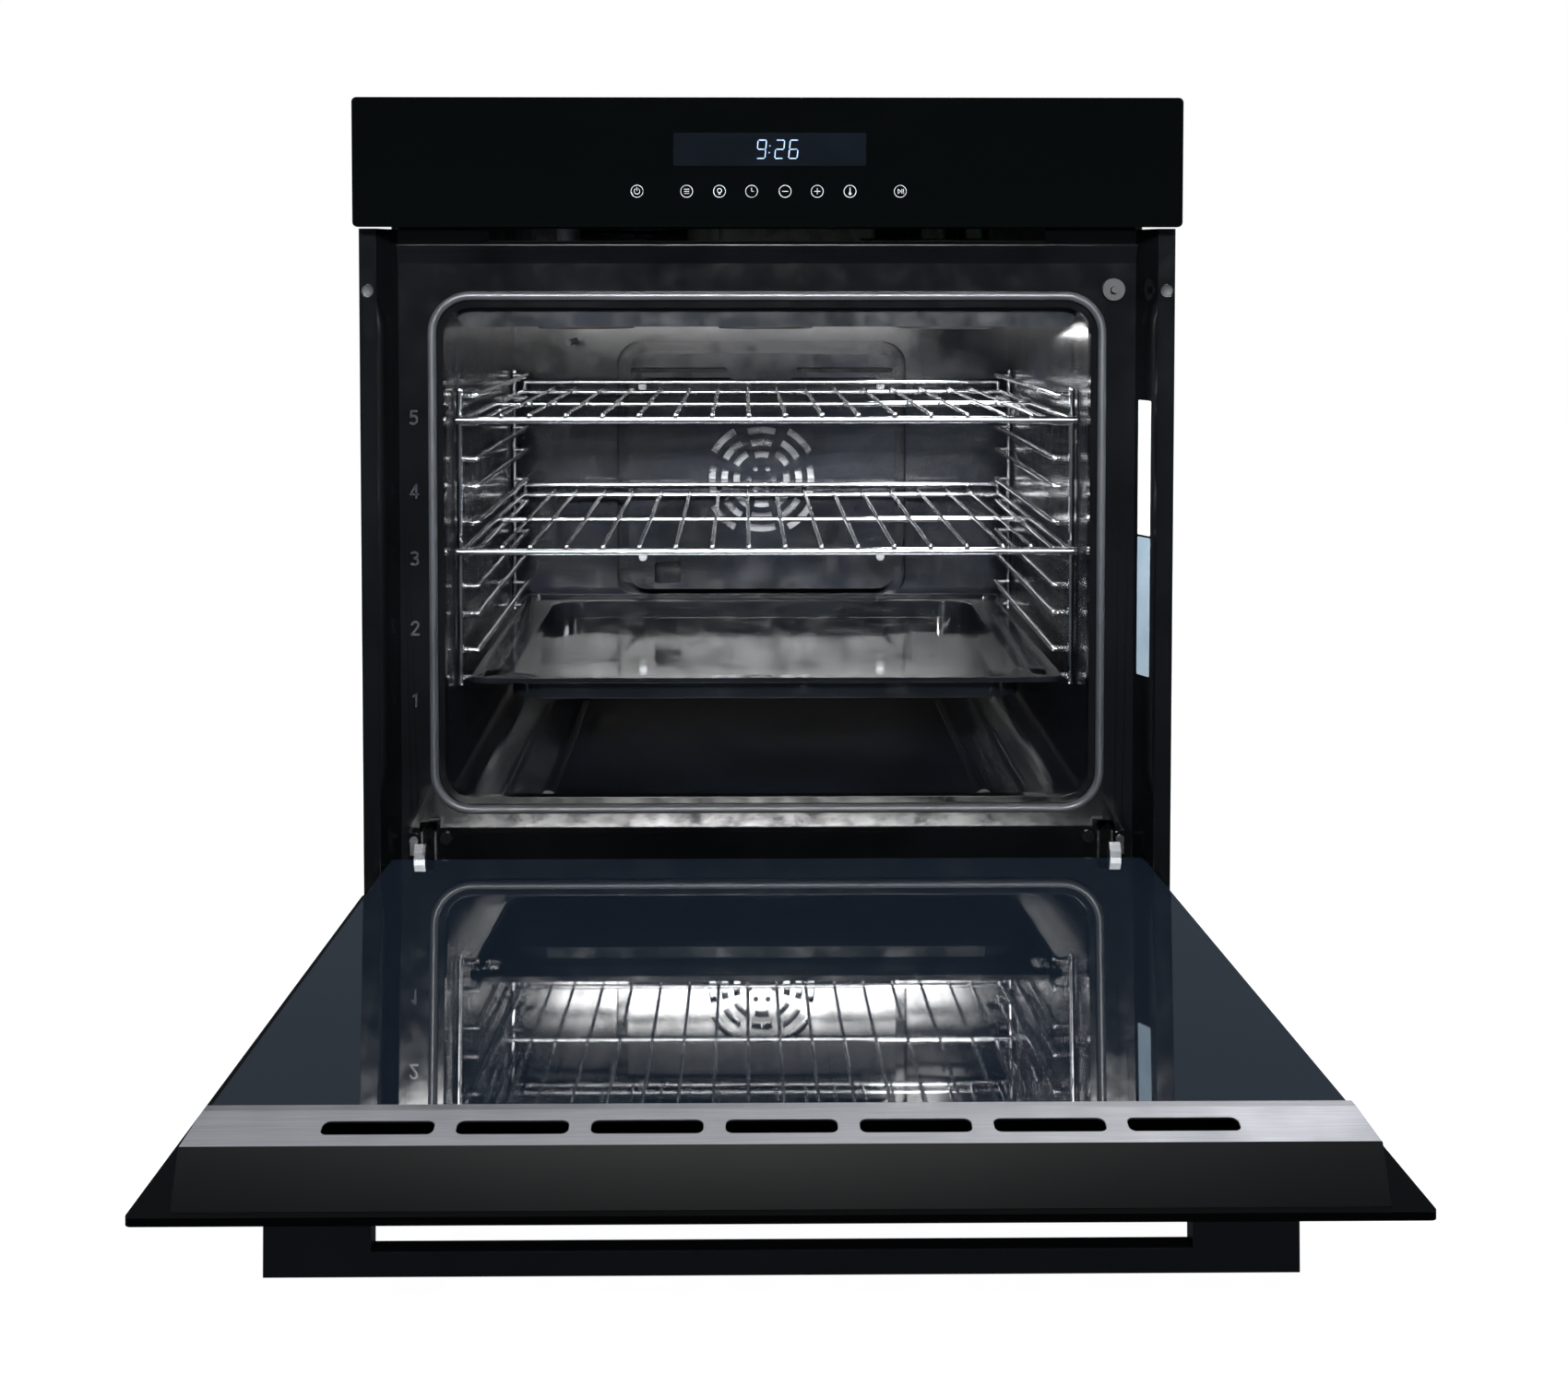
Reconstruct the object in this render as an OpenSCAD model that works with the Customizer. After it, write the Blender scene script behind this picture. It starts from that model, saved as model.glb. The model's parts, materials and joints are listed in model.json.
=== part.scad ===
/* [Front] */
// Width of the control panel and of the outer door glass
front_w = 595; // [590:1:600]
// Height of the whole front, from the underside to the top of the panel
front_h = 595; // [560:1:720]
// Height of the control panel
panel_h = 92.5; // [80:0.5:130]
// How far the panel and the closed door stand in front of the furniture
front_proud = 20; // [18:1:30]
// Thickness of the panel and door glass
glass_t = 4; // [3:0.5:5]
// Gap between the panel and the closed door
door_gap = 3; // [2:0.5:5]

/* [Cabinet] */
// How much narrower than the front the sheet-metal body is, on each side
body_inset = 19.5; // [17:0.5:22]
// How far the body's top lies below the top of the panel
body_drop = 17; // [12:0.5:24]
// Depth of the body behind the furniture front
body_d = 545; // [520:1:680]
// Thickness of the cabinet sheet
sheet = 1.2; // [0.8:0.1:2]
// Distance the fascia lies behind the furniture front
fascia_y = 20; // [18:0.5:30]
// Width of the flat strips that rest on the furniture
flange_w = 13; // [10:0.5:16]

/* [Cavity] */
// Room between the body's side and the cavity, on each side
side_room = 33; // [31:0.5:50]
// Height of the cavity floor above the underside
floor_z = 60; // [58:1:80]
// Room between the cavity's ceiling and the lower edge of the panel
roof_room = 50.5; // [48:0.5:70]
// Room between the cavity's rear wall and the back of the body
rear_room = 90; // [86:1:120]
// How far the fascia reaches over the cavity at each side of the mouth
mouth_side = 5; // [3:0.5:12]
// How far the fascia reaches over the cavity above the mouth
mouth_top = 7.5; // [5:0.5:12]
// Height of the mouth's lower edge above the cavity floor
mouth_lip = 18.5; // [12:0.5:20]
// Radius of the mouth's corners
mouth_r = 20; // [12:1:30]

/* [Shelves] */
// Number of shelf levels
levels = 5; // [3:1:6]
// Height of the lowest runner above the cavity floor
first_runner = 90; // [80:1:110]
// Room above the lower runner of the highest level
top_room = 99.6; // [90:0.2:120]
// Distance between the two runners of a level
runner_gap = 22; // [18:0.5:26]
// Room between a shelf's side rod and the cavity's side wall
shelf_side = 10; // [9:0.5:12]
// Room between a shelf and the fan cover behind it
shelf_rear = 7; // [6:0.5:40]
// Room between the tray and the fan cover behind it
tray_rear = 3; // [2:0.5:40]
// Height of the tray below its rim
tray_h = 18; // [14:1:30]
// Wire diameter of the runners
runner_wire = 4.6; // [4:0.2:5]
// Wire diameter of the shelf bars
bar_wire = 3.2; // [2.6:0.2:3.6]

/* [Door] */
// Height of the hinge pin above the underside
hinge_z = 17.5; // [17:0.5:19]
// Hinge pin behind the back of the outer glass
pin_back = 3.5; // [3:0.5:4]
// Angle the door opens to
open_angle = 87; // [85:0.1:90]
// Thickness of the closed door, outer glass to inner glass
door_t = 33.6; // [31:0.1:34]
// Height of the door's lower edge above the underside
door_foot = 8; // [8:0.5:12]
// How much narrower than the outer glass the inner glass is, on each side
inner_inset = 24.5; // [23.5:0.5:30]
// Length of the handle
handle_l = 473; // [400:1:520]
// Width of each handle post
post_w = 49; // [30:1:60]
// Thickness of the handle bar, across the gap behind it
handle_t = 12; // [10:0.5:16]
// Height of the handle bar on the closed door
handle_h = 10.6; // [9:0.2:16]
// Clear finger room behind the handle bar
finger_gap = 15; // [14:0.5:30]

/* [Fan] */
// Radius of the fan grille
grille_r = 67; // [60:1:70]
// Radius of the hot-air fan
fan_r = 72; // [60:1:76]

/* [Hidden] */
$fn = 48;

// Room left between pieces that are put together, and between pieces that move
seat = 0.1;
run = 0.4;

// Body, cavity and mouth
body_w = front_w - 2 * body_inset;
body_h = front_h - body_drop;
cavity_w = body_w - 2 * side_room;
cavity_h = front_h - panel_h - roof_room - floor_z;
cavity_d = body_d - rear_room - fascia_y;
mouth_w = cavity_w - 2 * mouth_side;
mouth_h = cavity_h - mouth_lip - mouth_top;
duct_w = mouth_w - 60;

// Heights of the front
panel_z = front_h - panel_h;
door_top = panel_z - door_gap;
door_h = door_top - door_foot;
glass_back = -front_proud + glass_t;
hinge_y = -glass_back - pin_back;
panel_corner = 3.5;

// Fascia of the cabinet
flange_t = 2;
flange_in = front_w / 2 - flange_w;
fascia_half = body_w / 2 - 4.7;
fascia_top = panel_z - 12;
frame_top = body_h - 2;
frame_z = sheet + seat;
strip_h = panel_z - 0.5 - frame_z;
mouth_z = floor_z + mouth_lip + mouth_h / 2;
mouth_return = 10;
screw_hole_z = panel_z - 45.5;
screw_hole_r = 4.5;
screw_hole_x = front_w / 2 - flange_w / 2;

// Cavity
cavity_y0 = fascia_y + sheet + seat;
cavity_y1 = fascia_y + cavity_d;
cavity_mid = floor_z + cavity_h / 2;
cavity_r = 24;
liner_t = 1.5;
recess_w = 287;
recess_h = 257;
recess_d = 14;
fan_z = floor_z + 210.5;
cover_z = floor_z + 218;
cover_w = recess_w - 24;
cover_h = recess_h - 24;
cover_y = cavity_y1 - 10;
back_y = cavity_y1 + liner_t + recess_d;
shaft_r = 4;

// Racks
wall_x = cavity_w / 2;
rr = runner_wire / 2;
post_x = wall_x - rr - 0.9;
knee_x = wall_x - 16;
rack_y0 = fascia_y + 81.5;
rack_y1 = cover_y - 20.5;
level_pitch = (cavity_h - first_runner - top_room) / (levels - 1);
function level_z(n) = floor_z + first_runner + (n - 1) * level_pitch;
rack_z0 = level_z(1) - 4;
rack_z1 = level_z(levels) + runner_gap + 4;

// Shelves and tray
front_rod = 2.8;
cross_rod = 2.3;
shelf_front = fascia_y + 42;
shelf_w = cavity_w - 2 * shelf_side;
shelf_d = cover_y - shelf_rear - shelf_front;
shelf_rest = rr + front_rod + run / 2;
rail_rise = 9.5;
upper_level = levels;
lower_level = levels - 2;
tray_w = shelf_w - 8;
tray_t = 1.4;
tray_front = fascia_y + 52;
tray_d = cover_y - tray_rear - tray_front;

// Closed door, measured from its outer face inwards
inner_face = -front_proud + door_t;
inner_z0 = hinge_z + 5.5;
trim_z0 = door_top - 42;
trim_z1 = door_top - 16;
trim_y1 = inner_face - 4.6;
trim_t = 1;
core_y0 = glass_back + seat;
core_y1 = inner_face - glass_t - seat;
inner_w = front_w - 2 * inner_inset;
core_half = inner_w / 2 + 2.5;
top_half = front_w / 2 - 19.5;
handle_z = door_top - 12.6;

// Hinges
arm_x = front_w / 2 - 44;
arm_t = 8;
cheek_t = 1.5;
pin_r = 2;
pin_gap = 0.05;
cheek_in = arm_t / 2 + 0.35;
nose_z0 = hinge_z - 2.5;
nose_z1 = hinge_z + 4;
housing_l = 170;
claw_y = 23;
housing_z1 = 52;

// A rounded rectangle about the origin
module rounded(w, h, r) {
    square([w - 2 * r, h], center = true);
    square([w, h - 2 * r], center = true);
    for (x = [-1, 1], y = [-1, 1])
        translate([x * (w / 2 - r), y * (h / 2 - r)]) circle(r);
}

// Extrudes an outline drawn in X and Z from y0 to y1
module wall(y0, y1) {
    translate([0, y1, 0]) rotate([90, 0, 0]) linear_extrude(y1 - y0) children();
}

// Extrudes an outline drawn in Y and Z from x0 to x1
module slab(x0, x1) {
    translate([x0, 0, 0]) rotate([90, 0, 90]) linear_extrude(x1 - x0) children();
}

// Sweeps a small profile round a rounded rectangle that stands in X and Z
module frame_sweep(w, h, r) {
    for (a = [0, 180])
        rotate([0, a, 0]) translate([w / 2, 0, r - h / 2]) mirror([0, 1, 0])
            linear_extrude(h - 2 * r) children();
    for (a = [90, -90])
        rotate([0, a, 0]) translate([h / 2, 0, r - w / 2]) mirror([0, 1, 0])
            linear_extrude(w - 2 * r) children();
    for (q = [[1, 1, 0], [-1, 1, 90], [-1, -1, 180], [1, -1, 270]])
        translate([q.x * (w / 2 - r), 0, q.y * (h / 2 - r)]) rotate([0, -q.z, 0]) rotate([90, 0, 0])
            rotate_extrude(angle = 90) translate([r, 0]) children();
}

// Round bars along each axis
module bar_x(x0, x1, y, z, r) {
    translate([x0, y, z]) rotate([0, 90, 0]) cylinder(h = x1 - x0, r = r);
}

module bar_y(x, y0, y1, z, r) {
    translate([x, y1, z]) rotate([90, 0, 0]) cylinder(h = y1 - y0, r = r);
}

module bar_z(x, y, z0, z1, r) {
    translate([x, y, z0]) cylinder(h = z1 - z0, r = r);
}

module ball(x, y, z, r) {
    translate([x, y, z]) sphere(r);
}

// Turns a closed door piece to its open place
module opened() {
    translate([0, -hinge_y, hinge_z]) rotate([open_angle, 0, 0]) translate([0, hinge_y, -hinge_z])
        children();
}

// ---- Cabinet shell ----

module base_pan() {
    color("silver") {
        translate([-body_w / 2, -flange_t, 0]) cube([body_w, body_d + flange_t, sheet]);
        difference() {
            translate([-body_w / 2, cavity_y0, 0]) cube([body_w, body_d - cavity_y0, pan_h]);
            translate([-body_w / 2 + sheet, cavity_y0 - 1, sheet / 2])
                cube([body_w - 2 * sheet, body_d - sheet - cavity_y0 + 1, pan_h]);
        }
    }
}
pan_h = 14;

module side_panel(side) {
    mirror([side < 0 ? 1 : 0, 0, 0]) color("silver") difference() {
        translate([body_w / 2 - sheet, cavity_y0, pan_h + seat])
            cube([sheet, body_d - cavity_y0, body_h - pan_h - sheet - 2 * seat]);
        for (n = [0:7])
            slab(body_w / 2 - 2 * sheet, body_w / 2 + 1)
                translate([body_d - 150 + n * 14, body_h - 60]) rounded(6, 50, 2.9);
    }
}

module top_cover() {
    color("silver") difference() {
        translate([-body_w / 2, cavity_y0, body_h - sheet]) cube([body_w, body_d - cavity_y0, sheet]);
        for (x = [-220:22:220])
            translate([x, body_d - 70, body_h - 2 * sheet]) linear_extrude(3 * sheet)
                rounded(8, 60, 3.9);
    }
}

module rear_cover() {
    color("silver") wall(body_d - sheet, body_d) difference() {
        translate([0, (pan_h + body_h - sheet) / 2])
            square([body_w - 2 * sheet - 2 * seat, body_h - pan_h - sheet - 2 * seat], center = true);
        for (a = [0:30:330], r = [30, 48])
            translate([r * cos(a), fan_z + r * sin(a)]) circle(5);
        translate([gland_x, gland_z]) circle(gland_r + seat);
    }
}
gland_x = 190;
gland_z = body_h - 88;
gland_r = 9;

// Sheet frame with the resting strips, the sloping reveals and the fascia round the mouth
module front_frame() {
    color("#1b1c1f") difference() {
        union() {
            for (s = [0, 1]) mirror([s, 0, 0]) translate([0, 0, frame_z]) linear_extrude(strip_h) polygon([
                [front_w / 2 - 0.5, -flange_t], [front_w / 2 - 0.5, 0], [flange_in + 0.6, 0],
                [fascia_half + 1.2, fascia_y + sheet], [fascia_half - 1, fascia_y + sheet],
                [fascia_half - 1, fascia_y], [fascia_half, fascia_y], [flange_in, -flange_t]]);
            wall(fascia_y, fascia_y + sheet)
                translate([0, (frame_z + frame_top) / 2])
                    square([2 * fascia_half - 1, frame_top - frame_z], center = true);
            wall(fascia_y + sheet / 2, fascia_y + mouth_return) translate([0, mouth_z])
                rounded(mouth_w + 2 * sheet, mouth_h + 2 * sheet, mouth_r + sheet);
            slab(0.3 - fascia_half, fascia_half - 0.3) polygon([
                [fascia_y + 0.3, fascia_top - 14], [fascia_y - 7, fascia_top],
                [fascia_y - 7 + sheet, fascia_top + 0.6], [fascia_y + 0.3, fascia_top - 11.4]]);
        }
        wall(fascia_y - 1, fascia_y + mouth_return + 1) translate([0, mouth_z])
            rounded(mouth_w, mouth_h, mouth_r);
        for (s = [-1, 1]) translate([s * screw_hole_x, 0, screw_hole_z]) rotate([90, 0, 0])
            cylinder(h = 8, r = screw_hole_r, center = true);
        translate([switch_x, fascia_y, switch_z]) rotate([90, 0, 0])
            cylinder(h = 10, r = 6.5, center = true);
        for (s = [-1, 1]) {
            wall(fascia_y - 1, fascia_y + 2 * sheet)
                translate([s * arm_x, 33]) rounded(13, 54, 2);
            translate([s * lever_x, fascia_y, lever_z]) rotate([90, 0, 0])
                cylinder(h = 10, r = 1.5 + pin_gap, center = true);
            translate([s * fixing_x, fascia_y, fixing_z]) rotate([90, 0, 0])
                cylinder(h = 10, r = 2.1, center = true);
        }
        wall(fascia_y - 1, fascia_y + 2 * sheet)
            translate([0, (panel_z + frame_top) / 2 + 4]) square([mouth_w - 20, 50], center = true);
        wall(fascia_y - 1, fascia_y + 2 * sheet)
            translate([0, fascia_top + 7.5]) rounded(duct_w - 8, 9, 2);
    }
}
switch_x = mouth_w / 2 + 16.4;
switch_z = mouth_z + mouth_h / 2 + 13.2;

// ---- Cavity ----

module cavity_liner() {
    color("#26282c") difference() {
        union() {
            wall(cavity_y0, cavity_y1 + liner_t) translate([0, cavity_mid])
                rounded(cavity_w + 2 * liner_t, cavity_h + 2 * liner_t, cavity_r + liner_t);
            wall(cavity_y1, back_y) translate([0, cover_z])
                rounded(recess_w + 2 * liner_t, recess_h + 2 * liner_t, cavity_r + liner_t);
        }
        wall(cavity_y0 + liner_t, cavity_y1) translate([0, cavity_mid])
            rounded(cavity_w, cavity_h, cavity_r);
        wall(cavity_y0 - 1, cavity_y0 + liner_t + 1) translate([0, mouth_z])
            rounded(mouth_w + 3 * sheet, mouth_h + 3 * sheet, mouth_r + 2 * sheet);
        wall(cavity_y0 + liner_t, back_y - liner_t) translate([0, cover_z])
            rounded(recess_w, recess_h, cavity_r);
        translate([0, back_y, fan_z]) rotate([90, 0, 0])
            cylinder(h = 4 * liner_t, r = shaft_r + 3, center = true);
        translate([lamp_x, lamp_y, floor_z + cavity_h])
            cylinder(h = 4 * liner_t, r = lamp_r + seat, center = true);
        translate([-wall_x + 60, cavity_y1, floor_z + cavity_h - 45]) rotate([90, 0, 0])
            cylinder(h = 4 * liner_t, r = 3.2, center = true);
        for (s = [-1, 1]) translate([s * 60, cavity_y1, floor_z + cavity_h - grill_drop])
            rotate([90, 0, 0]) cylinder(h = 4 * liner_t, r = 4.2, center = true);
        for (x = [-14, 14]) translate([x, back_y, fan_z + ring_r]) rotate([90, 0, 0])
            cylinder(h = 4 * liner_t, r = 4.2, center = true);
        rack_studs(2.1, 8);
    }
    color("#26282c") for (s = [-1, 1]) {
        floor_rib(s * 206, cavity_y0 + 8, cavity_y1 - 8);
        floor_rib(s * 172, cavity_y0 + 70, cavity_y1 - 60);
    }
}
lamp_x = 150;
lamp_y = fascia_y + 330;
lamp_r = 24;
grill_drop = 22;
ring_r = 88;

// A pressed rib on the cavity floor
module floor_rib(x, y0, y1) {
    intersection() {
        bar_y(x, y0, y1, floor_z - 3, 6);
        translate([x - 10, y0 - 1, floor_z - 0.5]) cube([20, y1 - y0 + 2, 20]);
    }
}

// Sheet under the ceiling that carries the grill, with its front flange
module roof_liner() {
    roof_z = floor_z + cavity_h - 0.5;
    flange_z = mouth_z + mouth_h / 2 - 14.5;
    color("#3a3c41") {
        difference() {
            wall(cavity_y0 + 10, cavity_y0 + 10 + sheet) difference() {
                translate([0, flange_z + (roof_z - flange_z) / 2])
                    rounded(mouth_w - 18, roof_z - flange_z, 8);
                translate([0, flange_z - 19]) square([mouth_w - 40, 40], center = true);
            }
        }
        translate([18 - mouth_w / 2, cavity_y0 + 10, flange_z]) cube([mouth_w - 36, 46, sheet]);
    }
}

// Pressed cover over the hot-air fan, with its grille and louvres
module fan_cover() {
    color("#3a3c41") difference() {
        wall(cover_y, cover_y + skirt) translate([0, cover_z]) rounded(cover_w, cover_h, 18);
        wall(cover_y + sheet, cover_y + skirt + 1) translate([0, cover_z])
            rounded(cover_w - 2 * sheet, cover_h - 2 * sheet, 18 - sheet);
        for (x = [-82, 82], z = [0, 10]) wall(cover_y - 1, cover_y + 2 * sheet)
            translate([x - sign(x) * z, cover_z + cover_h / 2 - 16 - z]) rounded(96 - z, 5, 2.4);
        wall(cover_y - 1, cover_y + 2 * sheet)
            translate([-93, cover_z - cover_h / 2 + 16]) rounded(26, 22, 4);
        translate([0, cover_y + 3 * sheet, fan_z]) rotate([90, 0, 0]) grille_slots(5 * sheet);
        cover_screw_places() cylinder(h = 40, r = 2.2, center = true);
    }
    color("#3a3c41") cover_screw_places() difference() {
        translate([0, 0, -stand]) cylinder(h = stand - seat, r = 5);
        translate([0, 0, -stand - 1]) cylinder(h = stand + 2, r = 2.2);
    }
}
skirt = 12;
stand = back_y - liner_t - cover_y - sheet;

// Places of the four cover screws, each with +Z towards the room
module cover_screw_places() {
    for (x = [-1, 1], z = [-1, 1])
        translate([x * (cover_w / 2 - 14), cover_y + sheet, cover_z + z * (cover_h / 2 - 32)])
            rotate([90, 0, 0]) children();
}

// Concentric arc slots in eight sectors, and six holes round the middle
module grille_slots(depth) {
    for (n = [0:7]) {
        radii = grille_r * (n % 2 == 0 ? [0.37, 0.55, 0.73] : [0.43, 0.61, 0.81]);
        for (r = radii) rotate(n * 45 - 16) rotate_extrude(angle = 32)
            translate([r - 3.2, 0]) square([6.4, depth]);
    }
    for (n = [0:5]) rotate(n * 60) translate([12, 0]) cylinder(h = depth, r = 2.6);
}

module fan_cover_screws() {
    color("silver") cover_screw_places() {
        translate([0, 0, sheet]) cylinder(h = 2.2, r = 4);
        translate([0, 0, -stand + 1]) cylinder(h = stand + sheet, r = 2);
    }
}

// ---- Wire racks ----

// Fixing studs of both racks, on the side walls
module rack_studs(r, l) {
    for (s = [-1, 1], y = [rack_y0 + 12, rack_y1 - 12])
        translate([s * wall_x, y, level_z(levels) - 12]) rotate([0, 90, 0])
            cylinder(h = l, r = r, center = true);
}

module rack_fixings() {
    color("silver") rack_studs(2, 2 * liner_t + 2);
    color("silver") for (s = [-1, 1], y = [rack_y0 + 12, rack_y1 - 12])
        translate([s * (wall_x - 2.2), y, level_z(levels) - 12]) rotate([0, 90, 0])
            cylinder(h = 3.4, r = 5, center = true);
}

module rack(side) {
    mirror([side < 0 ? 1 : 0, 0, 0]) color("gainsboro") {
        for (y = [rack_y0, rack_y1]) {
            bar_z(post_x, y, rack_z0, rack_z1, rr);
            ball(post_x, y, rack_z0, rr);
            ball(post_x, y, rack_z1, rr);
        }
        for (n = [1:levels], up = [0, 1]) runner(level_z(n) + up * runner_gap);
    }
}

// One runner: out from the front post, back along the shelf edge and in to the rear post
module runner(z) {
    bar_x(knee_x, post_x, rack_y0 + 3, z, rr);
    ball(knee_x, rack_y0 + 3, z, rr);
    bar_y(knee_x, rack_y0 + 3, rack_y1 - 3, z, rr);
    ball(knee_x, rack_y1 - 3, z, rr);
    bar_x(knee_x, post_x, rack_y1 - 3, z, rr);
}

// A wire shelf whose bars lie on the cross rods
module wire_shelf(level) {
    z = level_z(level) + shelf_rest;
    rod_x = shelf_w / 2;
    y0 = shelf_front;
    y1 = shelf_front + shelf_d;
    color("gainsboro") {
        bar_x(-rod_x - 3, rod_x + 3, y0, z, front_rod);
        for (s = [-1, 1]) {
            ball(s * (rod_x + 3), y0, z, front_rod);
            bar_y(s * rod_x, y0, y1, z, cross_rod);
            bar_z(s * (rod_x - 2), y1, z, z + rail_rise, cross_rod);
            ball(s * (rod_x - 2), y1, z + rail_rise, cross_rod);
        }
        for (y = [y0 + shelf_d / 2, y1 - 6]) bar_x(-rod_x, rod_x, y, z, cross_rod);
        bar_x(-rod_x + 2, rod_x - 2, y1, z + rail_rise, cross_rod);
        for (n = [0:15]) {
            x = abs(n - 7.5) > 7 ? sign(n - 7.5) * 203.5 : (n - 7.5) * 28;
            bar_y(x, y0 - 1, y1 - 1, z + cross_rod + 1.2, bar_wire / 2);
            ball(x, y0 - 1, z + cross_rod + 1.2, bar_wire / 2 + 0.5);
        }
    }
}

// Enamelled tray hung by its rim
module tray() {
    rim_z = level_z(1) + rr + run / 2;
    mid_y = tray_front + tray_d / 2;
    pan_w = tray_w - 58;
    pan_d = tray_d - 44;
    color("#202226") {
        difference() {
            translate([0, mid_y, rim_z]) linear_extrude(tray_t) rounded(tray_w, tray_d, 12);
            translate([0, mid_y, rim_z - 1]) linear_extrude(tray_t + 2) rounded(pan_w, pan_d, 30);
            for (s = [-1, 1]) translate([s * (tray_w / 2 - 14), tray_front + 34, rim_z - 1])
                linear_extrude(tray_t + 2) rounded(12, 26, 2);
        }
        difference() {
            translate([0, mid_y, rim_z + tray_t - tray_h]) linear_extrude(tray_h - tray_t / 2)
                rounded(pan_w + 2 * tray_t, pan_d + 2 * tray_t, 30 + tray_t);
            translate([0, mid_y, rim_z + 2 * tray_t - tray_h]) linear_extrude(tray_h)
                rounded(pan_w, pan_d, 30);
        }
        difference() {
            translate([0, mid_y, rim_z + tray_t / 2]) linear_extrude(3.4)
                rounded(tray_w, tray_d, 12);
            translate([0, mid_y, rim_z]) linear_extrude(6) rounded(tray_w - 3, tray_d - 3, 10.5);
        }
    }
}

// Silicone seal, round at the front and flat against the fascia
module door_seal() {
    color("#33353a") translate([0, fascia_y, mouth_z])
        frame_sweep(mouth_w + 16, mouth_h + 17, mouth_r + 8) intersection() {
            translate([0, seal_r - 1.4]) circle(seal_r);
            translate([-2 * seal_r, seat / 2]) square([4 * seal_r, 3 * seal_r]);
        }
}
seal_r = 3.2;

// ---- Heaters, lamp and probe ----

// A tube bent into a flat hairpin with n legs, in X and Y
module serpentine(w, y0, y1, n, r) {
    step = w / (n - 1);
    bend = step / 2;
    for (i = [0:n - 1]) {
        x = -w / 2 + i * step;
        bar_y(x, y0 + bend, i == 0 || i == n - 1 ? y1 + bend : y1 - bend, 0, r);
        if (i < n - 1) translate([x + bend, i % 2 == 0 ? y0 + bend : y1 - bend, 0])
            rotate([0, 0, i % 2 == 0 ? 180 : 0]) rotate_extrude(angle = 180)
                translate([bend, 0]) circle(r);
    }
}

module grill_element() {
    z = floor_z + cavity_h - grill_drop;
    color("dimgray") translate([0, 0, z]) {
        serpentine(360, cavity_y0 + 70, cavity_y1 - 60, 6, 3.2);
        for (s = [-1, 1]) bar_y(s * 60, cavity_y1 - 40, cavity_y1 + 22, 0, 3.4);
        for (s = [-1, 1]) bar_x(s > 0 ? 60 : -180, s > 0 ? 180 : -60, cavity_y1 - 36, 0, 3.2);
        for (s = [-1, 1]) bar_y(s * 180, cavity_y1 - 60, cavity_y1 - 36, 0, 3.2);
    }
}

module bottom_element() {
    color("dimgray") translate([0, 0, floor_z - liner_t - 6])
        serpentine(300, cavity_y0 + 60, cavity_y1 - 60, 4, 3.2);
}

module ring_element() {
    color("dimgray") translate([0, back_y - liner_t - 6, fan_z]) rotate([90, 0, 0])
        rotate([0, 0, 90 + 9]) rotate_extrude(angle = 342) translate([ring_r, 0]) circle(3.2);
    color("dimgray") for (x = [-14, 14]) bar_y(x, back_y - 8, back_y + 22, fan_z + ring_r, 3.2);
}

module lamp_socket() {
    color("silver") translate([lamp_x, lamp_y, floor_z + cavity_h - 3]) difference() {
        cylinder(h = 40, r = lamp_r);
        translate([0, 0, -1]) cylinder(h = 37, r = lamp_r - 2);
    }
}

module lamp_bulb() {
    color("gold") translate([lamp_x, lamp_y, floor_z + cavity_h + 12]) {
        cylinder(h = 21 - seat, r = 7);
        sphere(9);
    }
}

module lamp_glass() {
    color("lightcyan") translate([lamp_x, lamp_y, floor_z + cavity_h - 8]) difference() {
        cylinder(h = 5 - seat, r = lamp_r + 3);
        translate([0, 0, 2]) cylinder(h = 6, r = lamp_r - 1);
    }
}

module temperature_probe() {
    color("silver") bar_y(-wall_x + 60, cavity_y1 - 70, cavity_y1 + 18, floor_z + cavity_h - 45, 3);
}

// Blanket round the cavity
module insulation() {
    gap = 1;
    thick = 22;
    color("#d9d2b8") difference() {
        wall(cavity_y0 + 50, cavity_y1 - 2) difference() {
            translate([0, cavity_mid]) square([cavity_w + 2 * (liner_t + gap + thick),
                cavity_h + 2 * (liner_t + gap + thick)], center = true);
            translate([0, cavity_mid])
                rounded(cavity_w + 2 * (liner_t + gap), cavity_h + 2 * (liner_t + gap), cavity_r);
        }
        translate([45 - cavity_w / 2, 0, floor_z - 20]) cube([cavity_w - 90, body_d, 20]);
        translate([lamp_x, lamp_y, floor_z + cavity_h]) cylinder(h = 60, r = lamp_r + 2);
        for (s = [-1, 1]) translate([s * arm_x - 9, 0, 0]) cube([18, 260, housing_z1 + 4]);
        for (s = [-1, 1]) translate([s * (wall_x + 4) - 6, rack_y0 - 4, level_z(levels) - 22])
            cube([12, rack_y1 - rack_y0 + 8, 20]);
    }
}

// ---- Fans ----

module fan_motor() {
    color("gray") translate([0, back_y + seat, fan_z]) rotate([-90, 0, 0]) {
        cylinder(h = 3, r = 34);
        translate([0, 0, 3 - seat]) cylinder(h = 34, r = 26);
    }
    color("gray") bar_y(0, back_y - 2, back_y + 2, fan_z, shaft_r + 2);
}

module convection_fan() {
    y0 = cover_y + sheet + 3;
    y1 = back_y - liner_t - 12.5;
    color("silver") translate([0, 0, fan_z]) difference() {
        union() {
            wall(y1 - sheet, y1) circle(fan_r);
            for (n = [0:11]) rotate([0, n * 30, 0])
                translate([30, y0, -0.6]) cube([fan_r - 32, y1 - y0 - sheet / 2, 1.2]);
            bar_y(0, y0, y1 + 9.5, 0, 7);
        }
        bar_y(0, y1, y1 + 20, 0, 0.01 + shaft_r / 2);
    }
}

blower_x = -120;
blower_y = body_d - 130;
blower_z0 = floor_z + cavity_h + liner_t + 26;
blower_top = body_h - sheet - 4;

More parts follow.
